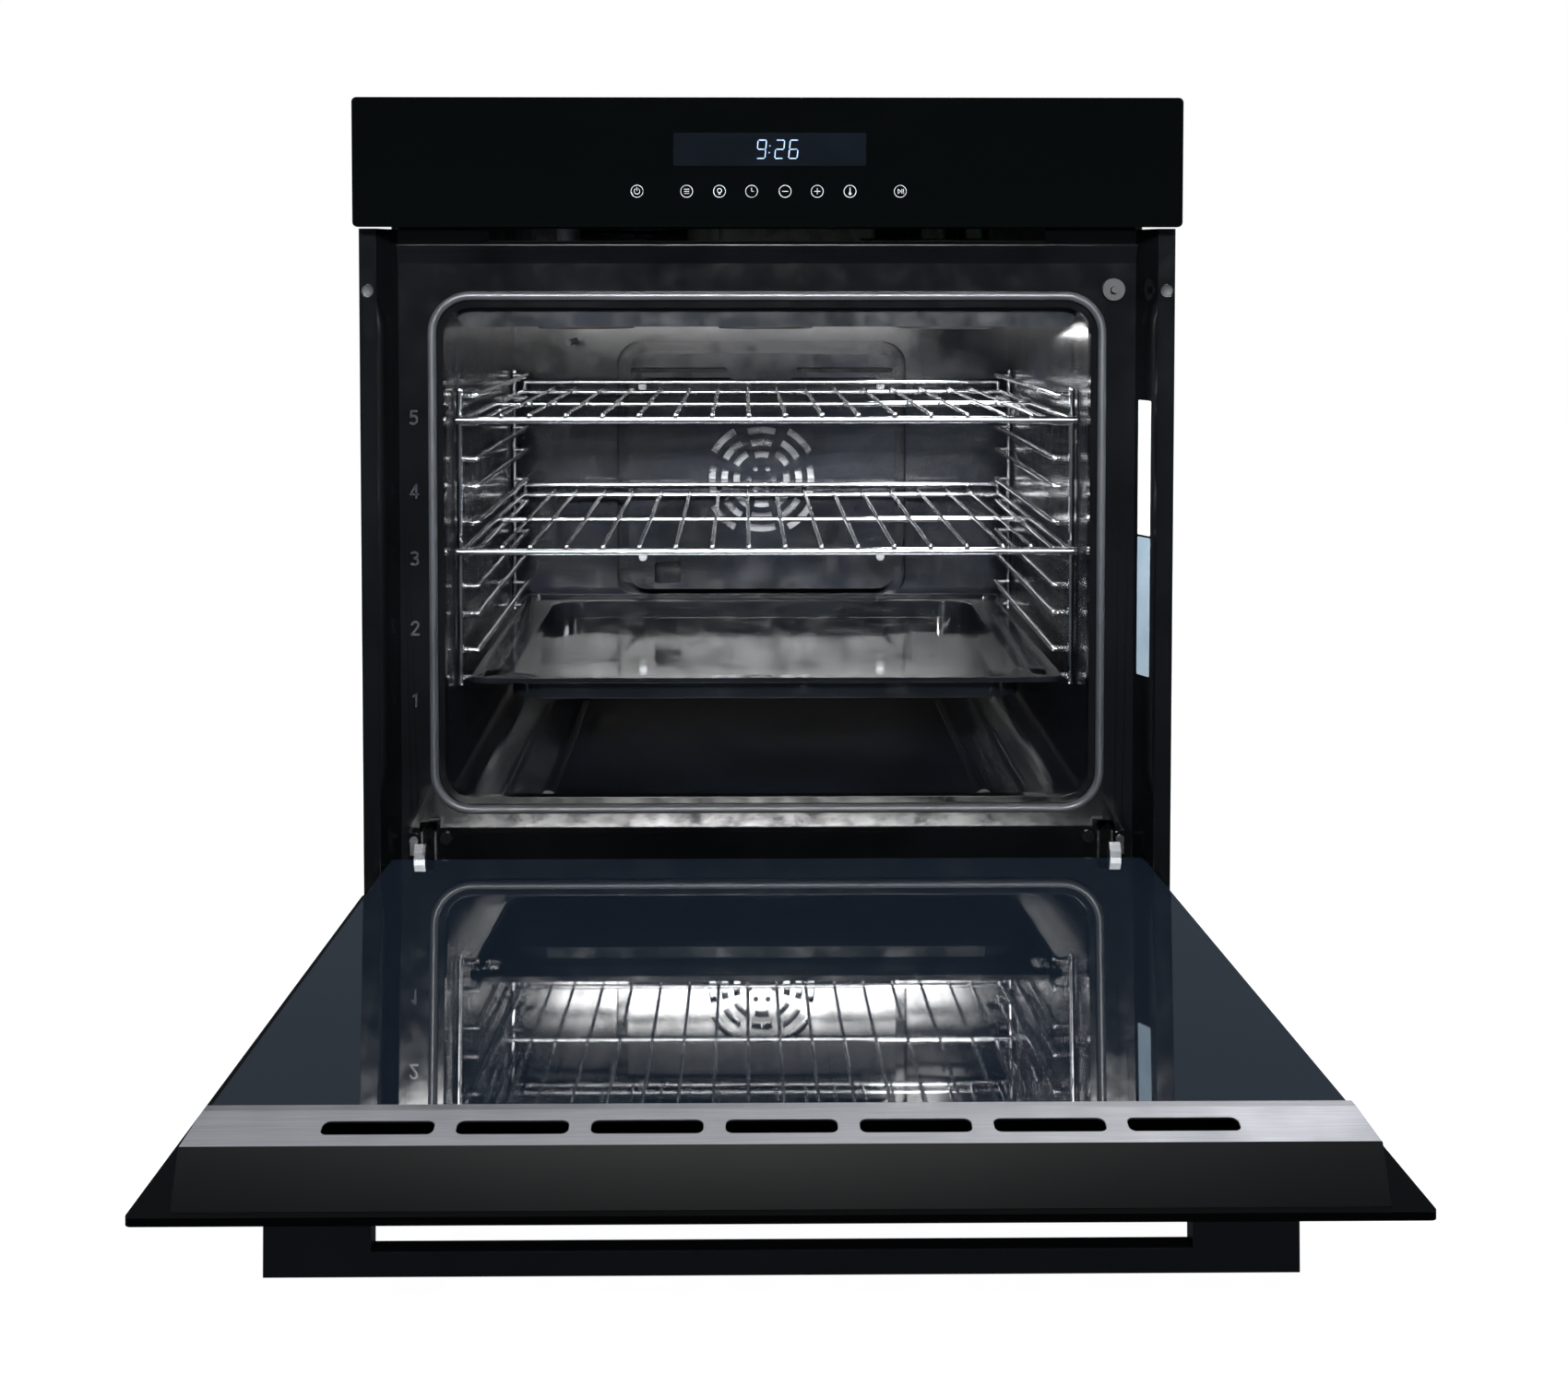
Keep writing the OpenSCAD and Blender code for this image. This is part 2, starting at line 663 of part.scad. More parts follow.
module blower_housing() {
    color("silver") difference() {
        translate([blower_x, blower_y, blower_z0])
            cylinder(h = blower_top - blower_z0, r = 78);
        translate([blower_x, blower_y, blower_z0 + sheet])
            cylinder(h = blower_top - blower_z0 - 2 * sheet, r = 78 - sheet);
        translate([blower_x, blower_y, blower_top - 2 * sheet]) cylinder(h = 10, r = 48);
        translate([blower_x - 50, blower_y - 100, blower_z0 + sheet])
            cube([100, 60, blower_top - blower_z0 - 2 * sheet]);
        translate([blower_x, blower_y, blower_z0 - 1]) cylinder(h = 5, r = 6);
    }
}

module blower_motor() {
    color("gray") translate([blower_x, blower_y, blower_z0 + sheet + seat]) {
        cylinder(h = 26, r = 22);
        cylinder(h = 38, r = 3);
    }
}

module blower_wheel() {
    z0 = blower_z0 + sheet + 32;
    z1 = blower_top - sheet - 2;
    color("silver") translate([blower_x, blower_y, 0]) difference() {
        union() {
            translate([0, 0, z0]) cylinder(h = sheet, r = 66);
            for (n = [0:23]) rotate(n * 15) translate([54, -0.5, z0]) cube([11, 1, z1 - z0]);
            translate([0, 0, z0]) cylinder(h = 8, r = 6);
        }
        translate([0, 0, z0 - 1]) cylinder(h = 20, r = 3 + pin_gap);
    }
}

// Flat duct that leads the cooling air to the slot under the panel
module air_duct() {
    y0 = fascia_y + sheet + seat;
    y1 = blower_y - 78 - 1;
    w = duct_w;
    z0 = fascia_top + 2;
    h = 24;
    color("silver") difference() {
        translate([-w / 2, y0, z0]) cube([w, y1 - y0, h]);
        translate([-w / 2 + sheet, y0 - 1, z0 + sheet])
            cube([w - 2 * sheet, y1 - y0 + 2, h - 2 * sheet]);
    }
}

// ---- Control panel ----

module panel_glass() {
    color("#08090b") wall(-front_proud, glass_back) difference() {
        translate([0, panel_z + panel_h / 2]) rounded(front_w, panel_h, panel_corner);
    }
}

// Plastic carrier behind the glass
module panel_carrier() {
    w = front_w - 6;
    color("#2a2b2e") difference() {
        wall(glass_back + seat, -seat) translate([0, panel_z + panel_h / 2])
            rounded(w, panel_h - 3, 3);
        wall(glass_back + 3, 1) translate([0, panel_z + panel_h / 2]) rounded(w - 5, panel_h - 8, 2);
        wall(glass_back - 1, glass_back + 4) translate([0, display_z]) square([146, 32], center = true);
        wall(glass_back - 1, glass_back + 4) translate([0, touch_z]) square([216, 16], center = true);
    }
    color("#2a2b2e") for (s = [-1, 1], z = [panel_z + 16, front_h - 16])
        bar_y(s * (w / 2 - 44.5), glass_back + 2, fascia_y - seat, z, 4);
}
display_z = front_h - 37;
touch_z = front_h - 67;

module display_module() {
    color("#0c1420") wall(glass_back + seat, glass_back + 9) translate([0, display_z])
        square([142, 28], center = true);
}

module touch_board() {
    color("darkgreen") wall(glass_back + seat, glass_back + 1.7) translate([0, touch_z])
        square([212, 13], center = true);
    color("darkgreen") wall(glass_back + 1.6, glass_back + 6) translate([0, touch_z])
        square([40, 8], center = true);
}

module power_board() {
    z = floor_z + cavity_h + liner_t + 50;
    color("darkgreen") {
        translate([90, body_d - 205, z]) cube([160, 120, 1.6]);
        translate([104, body_d - 196, z + 1.5]) cube([44, 36, 28]);
        translate([170, body_d - 190, z + 1.5]) cube([20, 28, 16]);
        translate([210, body_d - 150, z + 1.5]) cube([16, 20, 20]);
        for (x = [98, 242], y = [body_d - 197, body_d - 93]) bar_z(x, y, z - 5, z + 0.8, 3);
    }
}

module thermal_cutout() {
    color("ivory") translate([0, body_d - 110, floor_z + cavity_h + liner_t + 28])
        cylinder(h = 9, r = 9);
    color("ivory") translate([-14, body_d - 113, floor_z + cavity_h + liner_t + 26])
        cube([28, 6, 2.4]);
}

module terminal_block() {
    color("ivory") difference() {
        translate([gland_x - 34, body_d - sheet - seat - 26, gland_z - 52]) cube([68, 26, 30]);
        for (n = [0:2]) translate([gland_x - 20 + n * 20, body_d - sheet - 40, gland_z - 37])
            rotate([-90, 0, 0]) cylinder(h = 26, r = 3);
    }
}

module cable_gland() {
    color("black") difference() {
        union() {
            bar_y(gland_x, body_d - 12, body_d + 10, gland_z, gland_r);
            bar_y(gland_x, body_d + seat, body_d + 4, gland_z, gland_r + 5);
        }
        bar_y(gland_x, body_d - 14, body_d + 12, gland_z, 4.5);
    }
}

// ---- Door switch ----

module switch_collar() {
    color("gray") difference() {
        union() {
            bar_y(switch_x, fascia_y - 3, fascia_y - seat / 2, switch_z, 8.2);
            bar_y(switch_x, fascia_y - 1, fascia_y + sheet + 3, switch_z, 6.4);
        }
        bar_y(switch_x, fascia_y - 5, fascia_y + 20, switch_z, 2.6 + pin_gap);
    }
}

module switch_body() {
    color("ivory") difference() {
        translate([switch_x - 8, fascia_y + sheet + 3 + seat, switch_z - 10]) cube([16, 22, 20]);
        bar_y(switch_x, fascia_y, fascia_y + 22, switch_z, 3);
    }
}

module switch_plunger() {
    color("dimgray") bar_y(switch_x, fascia_y - 7, fascia_y + 12, switch_z, 2.6);
}

// ---- Hinges ----

module hinge_housing(side) {
    y0 = fascia_y + sheet + seat;
    mirror([side < 0 ? 1 : 0, 0, 0]) translate([arm_x, 0, 0]) color("silver") {
        for (s = [-1, 1]) slab(s > 0 ? cheek_in : -cheek_in - cheek_t,
            s > 0 ? cheek_in + cheek_t : -cheek_in) union() {
                translate([y0, 8]) square([housing_l, housing_z1 - 8]);
                translate([-hinge_y, nose_z0]) square([y0 + hinge_y + 1, nose_z1 - nose_z0]);
                translate([-hinge_y, hinge_z]) circle(2.5);
                translate([-hinge_y - 2.5, hinge_z]) square([4, nose_z1 - hinge_z]);
            }
        slab(-cheek_in - 0.5, cheek_in + 0.5) translate([y0, 8]) square([housing_l, 1.5]);
        slab(-cheek_in - 0.5, cheek_in + 0.5)
            translate([y0 + housing_l - 1.5, 8]) square([1.5, housing_z1 - 8]);
        bar_x(-cheek_in - cheek_t, cheek_in + cheek_t, -hinge_y, hinge_z, pin_r);
    }
}

module hinge_springs() {
    y0 = fascia_y + 70;
    color("dimgray") for (s = [-1, 1]) {
        bar_y(s * arm_x, y0, fascia_y + housing_l - 2, 30, 3.4);
        bar_y(s * arm_x, y0 - 12, y0 + 2, 30, 1.6);
    }
}

// Arm that turns on the pin, runs up inside the door and reaches a claw towards the housing
module hinge_arm(side) {
    mirror([side < 0 ? 1 : 0, 0, 0]) color("gainsboro") opened() difference() {
        slab(arm_x - arm_t / 2, arm_x + arm_t / 2) union() {
            translate([-hinge_y, hinge_z]) circle(3.1);
            translate([-hinge_y - 2.6, hinge_z]) square([9, 120]);
            polygon([[-hinge_y, hinge_z - 3.1], [8, hinge_z - 3], [claw_y - 3, hinge_z - 2.4],
                [claw_y, hinge_z - 3], [claw_y + 0.5, hinge_z + 1], [claw_y - 5, hinge_z + 4.5],
                [-hinge_y, hinge_z + 5.4]]);
        }
        bar_x(arm_x - arm_t, arm_x + arm_t, -hinge_y, hinge_z, pin_r + pin_gap);
    }
}

// Small lever on the fascia that holds the hinge while the door is lifted off
module lock_lever(side) {
    mirror([side < 0 ? 1 : 0, 0, 0]) color("gainsboro") {
        wall(fascia_y - 4.6, fascia_y - 3.2) union() {
            translate([lever_x, lever_z]) circle(3.2);
            translate([lever_x - 1.6, lever_z - 11]) square([4.4, 11]);
        }
        bar_y(lever_x, fascia_y - 4, fascia_y + sheet + 2, lever_z, 1.5);
    }
}
lever_x = arm_x + 10.1;
lever_z = 47;

module fascia_screws() {
    color("dimgray") for (s = [-1, 1]) {
        bar_y(s * fixing_x, fascia_y - 2, fascia_y - seat / 2, fixing_z, 4.6);
        bar_y(s * fixing_x, fascia_y - 1, fascia_y + 8, fixing_z, 2);
    }
}
fixing_x = arm_x - 13.5;
fixing_z = 48;

// ---- Door, drawn closed and turned to its open place ----

module door_glass() {
    color("#101216") opened() wall(-front_proud, glass_back) difference() {
        translate([0, door_foot + door_h / 2]) rounded(front_w, door_h, panel_corner);
        for (s = [-1, 1]) translate([s * (handle_l / 2 - post_w / 2), handle_z]) circle(2.8);
    }
}

module door_inner_glass() {
    color("#3b4046") opened() wall(inner_face - glass_t, inner_face)
        translate([0, (inner_z0 + trim_z0 - run) / 2]) rounded(inner_w, trim_z0 - run - inner_z0, 3);
}

module door_middle_glass() {
    color("#59626b") opened() wall(-2, 1.2)
        translate([0, (inner_z0 + trim_z0) / 2]) rounded(inner_w - 34, trim_z0 - inner_z0 - 30, 3);
}

// Side profile: an outer web with ledges for the glasses, slotted for the hinge arm
module door_side(side) {
    z1 = door_top - 31 - seat;
    mirror([side < 0 ? 1 : 0, 0, 0]) color("#2b2d31") opened() difference() {
        union() {
            translate([core_half - 1.6, core_y0, inner_z0])
                cube([1.6, core_y1 - core_y0 + 1, z1 - inner_z0]);
            translate([core_half - 30, core_y0, inner_z0]) cube([30, 1.4, z1 - inner_z0]);
            translate([core_half - 30, core_y1 - 1.4, inner_z0]) cube([30, 1.4, z1 - inner_z0]);
            translate([core_half - 30, 1.3, inner_z0 + 18]) cube([18, core_y1 - 1.8, z1 - inner_z0 - 30]);
        }
        translate([arm_x - arm_t / 2 - 0.5, core_y0 - 1, inner_z0 - 1])
            cube([arm_t + 1, 3, 124]);
        translate([arm_x - arm_t / 2 - 0.5, core_y0 - 1, inner_z0 - 1])
            cube([arm_t + 1, core_y1 - core_y0 + 2, 14]);
        translate([arm_x - arm_t / 2 - 0.5, 0, inner_z0 + 10]) cube([arm_t + 1, 4, 120]);
    }
}

// Cap along the top of the door
module door_top_profile() {
    color("#222428") opened() difference() {
        slab(-top_half, top_half) polygon([
            [core_y0, door_top - 5], [core_y0, door_top - 30], [core_y0 + 1.4, door_top - 30],
            [core_y0 + 1.4, door_top - 6.9], [trim_y1 - 3.6, trim_z1 - 0.6],
            [trim_y1 - 3.6, trim_z1 - 8], [trim_y1 - 2.2, trim_z1 - 8],
            [trim_y1 - 2.2, trim_z1 + 0.2], [trim_y1, trim_z1 + 0.2]]);
        for (s = [-1, 1]) translate([s * (handle_l / 2 - post_w / 2), core_y0 + 3, handle_z])
            rotate([90, 0, 0]) cylinder(h = 6, r = 2.8);
    }
}

// Satin strip with the air slots: a flat lip over the inner glass, then a slope to the top profile
module slotted_trim() {
    bend_z = trim_z0 + 0.5;
    front_y = inner_face + trim_t;
    lean = atan2(front_y - trim_y1, trim_z1 - bend_z);
    length = sqrt(pow(trim_z1 - bend_z, 2) + pow(front_y - trim_y1, 2));
    color("#9a9ca0") opened() intersection() {
        difference() {
            slab(-top_half - 1, top_half + 1) polygon([
                [inner_face + seat / 2, trim_z0 - 6], [front_y, trim_z0 - 6], [front_y, bend_z],
                [trim_y1, trim_z1], [trim_y1 - trim_t * cos(lean), trim_z1 - trim_t * sin(lean)],
                [inner_face + seat / 2, bend_z - 0.3]]);
            translate([0, front_y, bend_z]) rotate([lean, 0, 0]) for (n = [-3:3])
                wall(-3 * trim_t, 2 * trim_t) translate([n * slot_pitch, length / 2])
                    rounded(slot_w, 10, 3.5);
        }
        translate([0, 0, trim_z0 - 10]) linear_extrude(60) polygon([
            [-reveal_x(0) + run, 0], [-reveal_x(20) + run, 20],
            [reveal_x(20) - run, 20], [reveal_x(0) - run, 0]]);
    }
}
slot_pitch = 63;
slot_w = 52.6;
// Half the width between the sloping reveals, at a depth y
function reveal_x(y) =
    flange_in - (y + flange_t) / (fascia_y + flange_t) * (flange_in - fascia_half) - 0.8;

module door_bottom_profile() {
    color("#2b2d31") opened() difference() {
        translate([-arm_x + 8, core_y0, inner_z0]) cube([2 * arm_x - 16, core_y1 - core_y0, 16]);
        translate([-arm_x, core_y0 + 1.4, inner_z0 + 1.4])
            cube([2 * arm_x, core_y1 - core_y0 - 2.8, 16]);
    }
}

module handle_bar() {
    y0 = -front_proud - finger_gap - handle_t;
    color("#232428") opened() {
        slab(-handle_l / 2, handle_l / 2) translate([y0 + handle_t / 2, handle_z])
            rounded(handle_t, handle_h, 1);
        for (s = [-1, 1]) difference() {
            slab(s > 0 ? handle_l / 2 - post_w : -handle_l / 2, s > 0 ? handle_l / 2 : post_w - handle_l / 2)
                translate([(y0 + 4 - front_proud - seat) / 2, handle_z])
                    square([-front_proud - seat - y0 - 4, handle_h], center = true);
            translate([s * (handle_l / 2 - post_w / 2), 0, handle_z]) rotate([90, 0, 0])
                cylinder(h = -y0 - 6, r = 2.1);
        }
    }
}

module handle_screws() {
    color("silver") opened() for (s = [-1, 1]) translate([s * (handle_l / 2 - post_w / 2), 0, handle_z])
        rotate([90, 0, 0]) {
            translate([0, 0, -core_y0 - 1.4 - 3 - seat]) cylinder(h = 3, r = 4.4);
            translate([0, 0, -glass_back - 2]) cylinder(h = glass_t + 12, r = 2);
        }
}

base_pan();
side_panel(-1);  // side_panel_left
side_panel(1);  // side_panel_right
top_cover();
rear_cover();
front_frame();
cavity_liner();
roof_liner();
fan_cover();
fan_cover_screws();
rack(-1);  // rack_left
rack(1);  // rack_right
rack_fixings();
door_seal();
grill_element();
bottom_element();
ring_element();
lamp_socket();
lamp_bulb();
lamp_glass();
temperature_probe();
insulation();
fan_motor();
convection_fan();
air_duct();
blower_housing();
blower_motor();
blower_wheel();
panel_carrier();
panel_glass();
display_module();
touch_board();
power_board();
thermal_cutout();
terminal_block();
cable_gland();
switch_collar();
switch_body();
switch_plunger();
hinge_housing(-1);  // hinge_housing_left
hinge_housing(1);  // hinge_housing_right
hinge_springs();
fascia_screws();
wire_shelf(upper_level);  // shelf_upper
wire_shelf(lower_level);  // shelf_lower
tray();
door_glass();
door_inner_glass();
door_middle_glass();
door_side(-1);  // door_side_left
door_side(1);  // door_side_right
door_top_profile();
slotted_trim();
door_bottom_profile();
handle_bar();
handle_screws();
hinge_arm(-1);  // hinge_arm_left
hinge_arm(1);  // hinge_arm_right
lock_lever(-1);  // lock_lever_left
lock_lever(1);  // lock_lever_right
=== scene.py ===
import json
import math

import bmesh
import bpy
from mathutils import Matrix, Vector


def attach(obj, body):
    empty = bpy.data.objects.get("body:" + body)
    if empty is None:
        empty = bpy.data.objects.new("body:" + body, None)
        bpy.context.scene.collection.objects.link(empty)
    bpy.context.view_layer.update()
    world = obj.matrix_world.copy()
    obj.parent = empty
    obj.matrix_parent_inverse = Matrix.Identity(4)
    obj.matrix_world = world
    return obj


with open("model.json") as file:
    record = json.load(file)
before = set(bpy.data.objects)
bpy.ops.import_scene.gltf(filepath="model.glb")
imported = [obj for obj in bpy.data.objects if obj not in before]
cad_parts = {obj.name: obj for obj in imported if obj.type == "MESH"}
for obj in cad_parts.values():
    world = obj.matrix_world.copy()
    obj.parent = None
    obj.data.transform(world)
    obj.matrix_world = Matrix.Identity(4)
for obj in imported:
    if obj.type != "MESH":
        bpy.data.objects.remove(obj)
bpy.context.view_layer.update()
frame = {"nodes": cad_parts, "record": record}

# Pieces are drawn in millimetres and scaled to metres. X is across, -Y is the room, Z is up.
MM = 0.001


def linear(hex_colour):
    """Linear RGBA of an sRGB hex colour."""
    shares = [int(hex_colour[i : i + 2], 16) / 255 for i in (1, 3, 5)]
    return tuple(s / 12.92 if s <= 0.04045 else ((s + 0.055) / 1.055) ** 2.4 for s in shares) + (1.0,)


def grey(level):
    return (level, level, level, 1.0)


def repeats(size_mm):
    """How many times a pattern of this real size repeats in a metre."""
    return 1000 / size_mm


def add(tree, kind, settings=None, **inputs):
    """Adds a node with its settings, and sets or links each named input. in0 is the first input."""
    made = tree.nodes.new(kind)
    for name, value in (settings or {}).items():
        if name == "stops":
            for stop, (at, colour) in zip(made.color_ramp.elements, value):
                stop.position, stop.color = at, colour
        else:
            setattr(made, name, value)
    for name, value in inputs.items():
        numbered = name[:2] == "in" and name[2:].isdigit()
        socket = made.inputs[int(name[2:]) if numbered else name.replace("_", " ")]
        if isinstance(value, bpy.types.NodeSocket):
            tree.links.new(value, socket)
        else:
            socket.default_value = value
    return made


def surface(name, metallic=0.0, ior=1.5):
    """A new material: itself, its node tree, its shader and the place on the piece."""
    made = bpy.data.materials.new(name)
    made.use_nodes = True
    tree = made.node_tree
    tree.nodes.clear()
    shader = add(tree, "ShaderNodeBsdfPrincipled", Metallic=metallic, IOR=ior)
    add(tree, "ShaderNodeOutputMaterial", Surface=shader.outputs["BSDF"])
    return made, tree, shader, add(tree, "ShaderNodeTexCoord").outputs["Object"]


def wire(tree, shader, **sources):
    """Links each named input of the shader to the first output of a node."""
    for name, node in sources.items():
        tree.links.new(node.outputs[0], shader.inputs[name.replace("_", " ")])


def vitreous_enamel(name, dark, light, rough_low, rough_high, peel_mm, peel_depth):
    """Glass fused on sheet steel: a deep gloss with the slow ripple of orange peel and faint clouds."""
    made, tree, shader, place = surface(name, ior=1.53)
    cloud = add(tree, "ShaderNodeTexNoise", Vector=place, Scale=repeats(70), Detail=3.0)
    tones = [(0.38, linear(dark)), (0.66, linear(light))]
    tint = add(tree, "ShaderNodeValToRGB", {"stops": tones}, Fac=cloud.outputs["Fac"])
    wiped = add(tree, "ShaderNodeTexNoise", Vector=place, Scale=repeats(22), Detail=4.0, Roughness=0.6)
    levels = [(0.35, grey(rough_low)), (0.7, grey(rough_high))]
    gloss = add(tree, "ShaderNodeValToRGB", {"stops": levels}, Fac=wiped.outputs["Fac"])
    peel = add(tree, "ShaderNodeTexNoise", Vector=place, Scale=repeats(peel_mm), Detail=1.5, Roughness=0.45)
    ripple = add(tree, "ShaderNodeBump", Strength=0.5, Distance=peel_depth * MM, Height=peel.outputs["Fac"])
    wire(tree, shader, Base_Color=tint, Roughness=gloss, Normal=ripple)
    return made


def drawn_metal(name, dark, light, rough_low, rough_high, line_mm, along, depth=0.01):
    """Metal with fine lines along one axis, left by drawing, rolling or brushing."""
    made, tree, shader, place = surface(name, metallic=1.0)
    stretch = [repeats(line_mm)] * 3
    stretch["XYZ".index(along)] = repeats(line_mm * 60)
    lines = add(tree, "ShaderNodeMapping", Vector=place, Scale=stretch)
    grain = add(tree, "ShaderNodeTexNoise", Vector=lines.outputs["Vector"], Scale=1.0, Detail=2.0)
    tones = [(0.3, linear(dark)), (0.7, linear(light))]
    tint = add(tree, "ShaderNodeValToRGB", {"stops": tones}, Fac=grain.outputs["Fac"])
    smear = add(tree, "ShaderNodeTexNoise", Vector=place, Scale=repeats(30), Detail=4.0)
    levels = [(0.35, grey(rough_low)), (0.7, grey(rough_high))]
    gloss = add(tree, "ShaderNodeValToRGB", {"stops": levels}, Fac=smear.outputs["Fac"])
    scratch = add(tree, "ShaderNodeBump", Strength=0.25, Distance=depth * MM, Height=grain.outputs["Fac"])
    wire(tree, shader, Base_Color=tint, Roughness=gloss, Normal=scratch)
    return made


def moulded(name, dark, light, rough_low, rough_high, grain_mm, depth, metallic=0.0):
    """A moulded, coated or pressed surface with an even fine grain and slight clouds."""
    made, tree, shader, place = surface(name, metallic=metallic)
    cloud = add(tree, "ShaderNodeTexNoise", Vector=place, Scale=repeats(45), Detail=3.0)
    tones = [(0.35, linear(dark)), (0.68, linear(light))]
    tint = add(tree, "ShaderNodeValToRGB", {"stops": tones}, Fac=cloud.outputs["Fac"])
    fine = repeats(grain_mm)
    grain = add(tree, "ShaderNodeTexNoise", Vector=place, Scale=fine, Detail=2.0, Roughness=0.55)
    levels = [(0.35, grey(rough_low)), (0.7, grey(rough_high))]
    gloss = add(tree, "ShaderNodeValToRGB", {"stops": levels}, Fac=grain.outputs["Fac"])
    bump = add(tree, "ShaderNodeBump", Strength=0.4, Distance=depth * MM, Height=grain.outputs["Fac"])
    wire(tree, shader, Base_Color=tint, Roughness=gloss, Normal=bump)
    return made


def float_glass(name, colour, rough_low, rough_high, transmission=0.0, coat=0.0, sheen=0.5):
    """Flat glass: almost perfectly smooth, with faint wipe marks that only show in the gloss."""
    made, tree, shader, place = surface(name, ior=1.52)
    shader.inputs["Base Color"].default_value = linear(colour)
    shader.inputs["Transmission Weight"].default_value = transmission
    shader.inputs["Coat Weight"].default_value = coat
    shader.inputs["Specular IOR Level"].default_value = sheen
    shader.inputs["Coat IOR"].default_value = 2.3
    shader.inputs["Coat Roughness"].default_value = 0.02
    streaks = add(tree, "ShaderNodeMapping", Vector=place, Scale=(12.0, 30.0, 30.0))
    along = streaks.outputs["Vector"]
    wiped = add(tree, "ShaderNodeTexNoise", Vector=along, Scale=1.0, Detail=5.0, Roughness=0.65)
    levels = [(0.4, grey(rough_low)), (0.75, grey(rough_high))]
    gloss = add(tree, "ShaderNodeValToRGB", {"stops": levels}, Fac=wiped.outputs["Fac"])
    wire(tree, shader, Roughness=gloss)
    return made


def galvanised_sheet():
    """Hot-dip galvanised steel: grey zinc crystals 10 to 15 mm across that differ in tone and gloss."""
    made, tree, shader, place = surface("galvanised_steel_sheet", metallic=1.0)
    warp = add(tree, "ShaderNodeTexNoise", Vector=place, Scale=repeats(18), Detail=2.0)
    wander = (6 * MM,) * 3
    sway = {"operation": "MULTIPLY_ADD"}
    bent = add(tree, "ShaderNodeVectorMath", sway, in0=warp.outputs["Color"], in1=wander, in2=place)
    spangle = add(tree, "ShaderNodeTexVoronoi", Vector=bent.outputs["Vector"], Scale=repeats(13))
    tone = add(tree, "ShaderNodeSeparateColor", Color=spangle.outputs["Color"])
    tones = [(0.0, linear("#a5a9ac")), (1.0, linear("#c3c6c8"))]
    tint = add(tree, "ShaderNodeValToRGB", {"stops": tones}, Fac=tone.outputs["Red"])
    levels = [(0.0, grey(0.3)), (1.0, grey(0.48))]
    gloss = add(tree, "ShaderNodeValToRGB", {"stops": levels}, Fac=tone.outputs["Green"])
    bump = add(tree, "ShaderNodeBump", Strength=0.15, Distance=0.02 * MM, Height=warp.outputs["Fac"])
    wire(tree, shader, Base_Color=tint, Roughness=gloss, Normal=bump)
    return made


def mineral_wool():
    """Glass wool felt: tangled straw-coloured fibres, drawn 1.5 mm apart so that they show."""
    made, tree, shader, place = surface("glass_wool_felt")
    lay = add(tree, "ShaderNodeMapping", Vector=place, Scale=(650.0, 160.0, 650.0))
    tangle = {"Scale": 1.0, "Detail": 6.0, "Roughness": 0.7, "Distortion": 1.5}
    fibre = add(tree, "ShaderNodeTexNoise", Vector=lay.outputs["Vector"], **tangle)
    tones = [(0.3, linear("#8a7f5c")), (0.7, linear("#d6ccab"))]
    tint = add(tree, "ShaderNodeValToRGB", {"stops": tones}, Fac=fibre.outputs["Fac"])
    bump = add(tree, "ShaderNodeBump", Strength=0.9, Distance=1.0 * MM, Height=fibre.outputs["Fac"])
    shader.inputs["Roughness"].default_value = 0.95
    wire(tree, shader, Base_Color=tint, Normal=bump)
    return made


def circuit_board():
    """Glass-epoxy board under green solder mask, with copper tracks 1.5 mm apart just showing through."""
    made, tree, shader, place = surface("solder_masked_board")
    greens = {"Color1": linear("#0f5c2c"), "Color2": linear("#0b4a23"), "Mortar": linear("#2c8a4c")}
    tracks = add(tree, "ShaderNodeTexBrick", Vector=place, Scale=repeats(12), Mortar_Size=0.08, **greens)
    shader.inputs["Roughness"].default_value = 0.3
    bump = add(tree, "ShaderNodeBump", Strength=0.3, Distance=0.05 * MM, Height=tracks.outputs["Fac"])
    wire(tree, shader, Base_Color=tracks, Normal=bump)
    return made


def heater_sheath():
    """Nickel-alloy tube after some heating: dull brown-grey oxide with bluish bands about 40 mm long."""
    made, tree, shader, place = surface("oxidised_nickel_alloy_tube", metallic=1.0)
    bands = add(tree, "ShaderNodeTexNoise", Vector=place, Scale=repeats(40), Detail=2.0)
    tones = [(0.35, linear("#4b423c")), (0.65, linear("#5a6068"))]
    tint = add(tree, "ShaderNodeValToRGB", {"stops": tones}, Fac=bands.outputs["Fac"])
    scale = add(tree, "ShaderNodeTexNoise", Vector=place, Scale=repeats(1.2), Detail=3.0)
    levels = [(0.3, grey(0.38)), (0.7, grey(0.6))]
    gloss = add(tree, "ShaderNodeValToRGB", {"stops": levels}, Fac=scale.outputs["Fac"])
    bump = add(tree, "ShaderNodeBump", Strength=0.3, Distance=0.03 * MM, Height=scale.outputs["Fac"])
    wire(tree, shader, Base_Color=tint, Roughness=gloss, Normal=bump)
    return made


def backlit_print(name, colour, strength):
    """Translucent print on the glass with a light guide behind it: it glows faintly and evenly."""
    made, tree, shader, place = surface(name)
    uneven = add(tree, "ShaderNodeTexNoise", Vector=place, Scale=repeats(3), Detail=1.0)
    tones = [(0.2, linear(colour[0])), (0.8, linear(colour[1]))]
    tint = add(tree, "ShaderNodeValToRGB", {"stops": tones}, Fac=uneven.outputs["Fac"])
    shader.inputs["Roughness"].default_value = 0.4
    shader.inputs["Emission Strength"].default_value = strength
    wire(tree, shader, Base_Color=tint, Emission_Color=tint)
    return made


